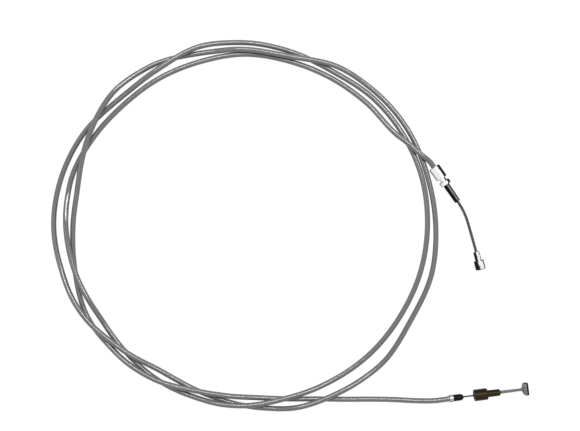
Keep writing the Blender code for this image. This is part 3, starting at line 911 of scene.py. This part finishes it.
sleeve_path = on_end_b(*SLEEVE_SPAN, SLEEVE_SPACING)
middles, around = strand_lines(sleeve_path, SLEEVE_STRANDS, SLEEVE_TURN, SLEEVE_LAY,
                               WIRES_ROUND, SLEEVE_WIRE_TURN, SLEEVE_WIRE_LAY)
sleeve_radii = [SLEEVE_MIDDLE_RADIUS] * len(middles) + [SLEEVE_WIRE_RADIUS] * len(around)
add_piece("laid_sleeve", wires_to_mesh("laid_sleeve", middles + around, sleeve_radii, 1), sleeve_steel,
          "wire_end_b", "sleeve", "wire_sleeve_b")

# %% [markdown]
# ## End B: the brown stop
# The stop is a stepped bush of dark brown plastic, loose on the wire. Its open socket slides over the
# cap. Its gloss has a warm tone, and painted shade makes it nearly black away from its lit side.

# %% Brown stop
brown_plastic, tree, shader = new_finish("brown_plastic", (0.01, 0.005, 0.0024), 0.3, IOR=1.25,
                                         Specular_IOR_Level=0.6, Specular_Tint=(1.0, 0.72, 0.42, 1.0))
clouds = use_group(tree, grain, Vector=object_place(tree), Size=3.0 * MM)
# Painted shade: the sides turned away from the lit side are darkened nearly to black.
shade = use_group(tree, shade_group, Wiped_Side=Vector((0.35, 0.1, 0.93)), Edge=0.8, Softness=0.18,
                  Patch_Size=3.0 * MM)["Mask"]
colour = mix_colour(tree, clouds["Tone"], (0.012, 0.0064, 0.0028), (0.032, 0.0185, 0.0085))
colour = mix_colour(tree, shade, colour, (0.003, 0.0013, 0.0008))
join(tree, colour, shader.inputs["Base Color"])
join(tree, between(tree, clouds["Tone"], 0.24, 0.4), shader.inputs["Roughness"])
bump(tree, shader, clouds["Height"], 0.015 * MM, 0.4)
STOP = (
    (23.2, 3.45, 0.2), (23.2, 5.4, 0.5), (35.8, 5.4, 1.2), (35.8, 3.3, 0.3), (47.6, 3.1, 0.8),
    (47.6, 1.95, 0.15), (30.7, 1.95, 0.0), (30.7, 3.45, 0.0),
)
turned("brown_stop", STOP, END_B, brown_plastic, "stop_b", "stop", "cable_stop")

# %% [markdown]
# ## End B: the cast head
# The head is cast in zinc round the end of the wire: a short bar across the wire, flat at its front
# and rounded at its back, with a small neck. Cast zinc is a dull mid grey with a grainy skin, and
# painted shade darkens it away from its lit side. The bar is a plan outline raised to its height,
# with all its edges well rounded.

# %% Cast zinc
cast_zinc, tree, shader = new_finish("cast_zinc", (0.15, 0.15, 0.147), 0.5, 0.75, IOR=1.2,
                                     Specular_IOR_Level=0.1)
skin = use_group(tree, grain, Vector=object_place(tree), Size=0.7 * MM)
stain = use_group(tree, grain, Vector=object_place(tree), Size=3.0 * MM)
# Painted shade: the front, turned away from the lit side, is darkened and is not metal there.
painted_shade = use_group(tree, shade_group, Wiped_Side=Vector((-0.72, 0.05, 0.69)), Edge=0.56, Softness=0.1,
                Patch_Size=2.0 * MM)["Mask"]
colour = mix_colour(tree, skin["Tone"], (0.09, 0.09, 0.088), (0.23, 0.23, 0.226))
colour = mix_colour(tree, between(tree, stain["Tone"], -0.5, 0.9), colour, (0.17, 0.17, 0.167))
colour = mix_colour(tree, painted_shade, colour, (0.012, 0.012, 0.0115))
join(tree, colour, shader.inputs["Base Color"])
join(tree, between(tree, painted_shade, 0.75, 0.0), shader.inputs["Metallic"])
join(tree, between(tree, skin["Tone"], 0.38, 0.62), shader.inputs["Roughness"])
bump(tree, shader, skin["Height"], 0.05 * MM, 0.7)

# %% Hammer head
HEAD_START = 69.0
HEAD_HEIGHT = 5.6 * MM
HEAD_THICKNESS = 5.4
HALF_SPAN = 5.75
BACK_ROUND = 2.5
BACK_EDGE = 0.8 * MM
FRONT_EDGE = 2.2 * MM
CORNER_STEPS = 6
EDGE_SEGMENTS = 5
SHARP_ANGLE = 60
TOLERANCE = 0.01
NECK = ((67.4, 0.0, 0.0), (67.4, 1.6, 0.3), (69.6, 2.3, 0.0), (69.6, 0.0, 0.0))

corner_angles = [pi / 2 * k / CORNER_STEPS for k in range(CORNER_STEPS + 1)]
back_corner = [(BACK_ROUND * (1 - sin(angle)), HALF_SPAN - BACK_ROUND * (1 - cos(angle)))
               for angle in corner_angles]
head_plan = [(HEAD_THICKNESS, -HALF_SPAN), (HEAD_THICKNESS, HALF_SPAN), *back_corner,
             *((x, -y) for x, y in reversed(back_corner))]
mesh = bmesh.new()
corners = [mesh.verts.new(((HEAD_START + x) * MM, y * MM, -HEAD_HEIGHT / 2)) for x, y in head_plan]
base = mesh.faces.new(corners)
grown = bmesh.ops.extrude_face_region(mesh, geom=[base])["geom"]
bmesh.ops.translate(mesh, verts=[item for item in grown if isinstance(item, bmesh.types.BMVert)],
                    vec=(0.0, 0.0, HEAD_HEIGHT))
bmesh.ops.recalc_face_normals(mesh, faces=mesh.faces)
front_plane = (HEAD_START + HEAD_THICKNESS - TOLERANCE) * MM
front = [edge for edge in mesh.edges if abs(edge.verts[0].co.z - edge.verts[1].co.z) < TOLERANCE * MM
         and all(vert.co.x > front_plane for vert in edge.verts)]
round_edges(mesh, front, FRONT_EDGE, EDGE_SEGMENTS)
sharp = [edge for edge in mesh.edges if edge.calc_face_angle() > radians(SHARP_ANGLE)]
round_edges(mesh, sharp, BACK_EDGE, EDGE_SEGMENTS)
neck = spin_outline(NECK)
neck_data = bpy.data.meshes.new("neck")
neck.to_mesh(neck_data)
neck.free()
mesh.from_mesh(neck_data)
bpy.data.meshes.remove(neck_data)
bmesh.ops.transform(mesh, matrix=END_B, verts=mesh.verts)
add_piece("cast_head", mesh, cast_zinc, "wire_end_b", "zinc", "hammer_head")

# %% [markdown]
# ## Inside the casing
# The spiral is flat steel wire wound closely round the hidden run of the wire. Neither is seen until
# the cable is taken apart. They follow the same smooth line as the sheath, and the gaps between the
# turns of the flat wire are a pattern on the tube that reads the straightened place.

# %% Steel for the hidden pieces
CONDUIT_RADIUS = 1.6 * MM
CONDUIT_WALL = 0.55 * MM
INNER_WIRE_RADIUS = 0.75 * MM
HIDDEN_SIDES = 12

spiral_steel, tree, shader = new_finish("spiral_steel", (0.45, 0.45, 0.44), 0.38, 1.0)
flat_turns = add_node(tree, "ShaderNodeTexWave", wave_type="BANDS", bands_direction="Z")
flat_turns.inputs["Scale"].default_value = WAVE_SCALE / RING_PITCH
join(tree, add_node(tree, "ShaderNodeAttribute", attribute_name="straight").outputs["Vector"],
     flat_turns.inputs["Vector"])
gap = calculate(tree, "POWER", flat_turns.outputs["Fac"], 0.3)
join(tree, mix_colour(tree, gap, (0.04, 0.04, 0.04), (0.48, 0.48, 0.47)), shader.inputs["Base Color"])
bump(tree, shader, gap, 0.1 * MM, 0.8)

# %% Spiral and hidden wire
spiral = add_piece("spiral", sweep(casing_line, CONDUIT_RADIUS, HIDDEN_SIDES), spiral_steel, "casing",
                   "conduit", "spiral_conduit")
give_wall(spiral, CONDUIT_WALL)
hidden_line = casing_line[:-STEPS_PER_POINT] + [END_B @ Vector((RUN_END_B, 0.0, 0.0))]
hidden_mesh = sweep(hidden_line, INNER_WIRE_RADIUS, HIDDEN_SIDES)
bmesh.ops.holes_fill(hidden_mesh, edges=[edge for edge in hidden_mesh.edges if edge.is_boundary], sides=0)
add_piece("hidden_wire", hidden_mesh, thin_wire_steel, "casing", "wire", "inner_wire_run")
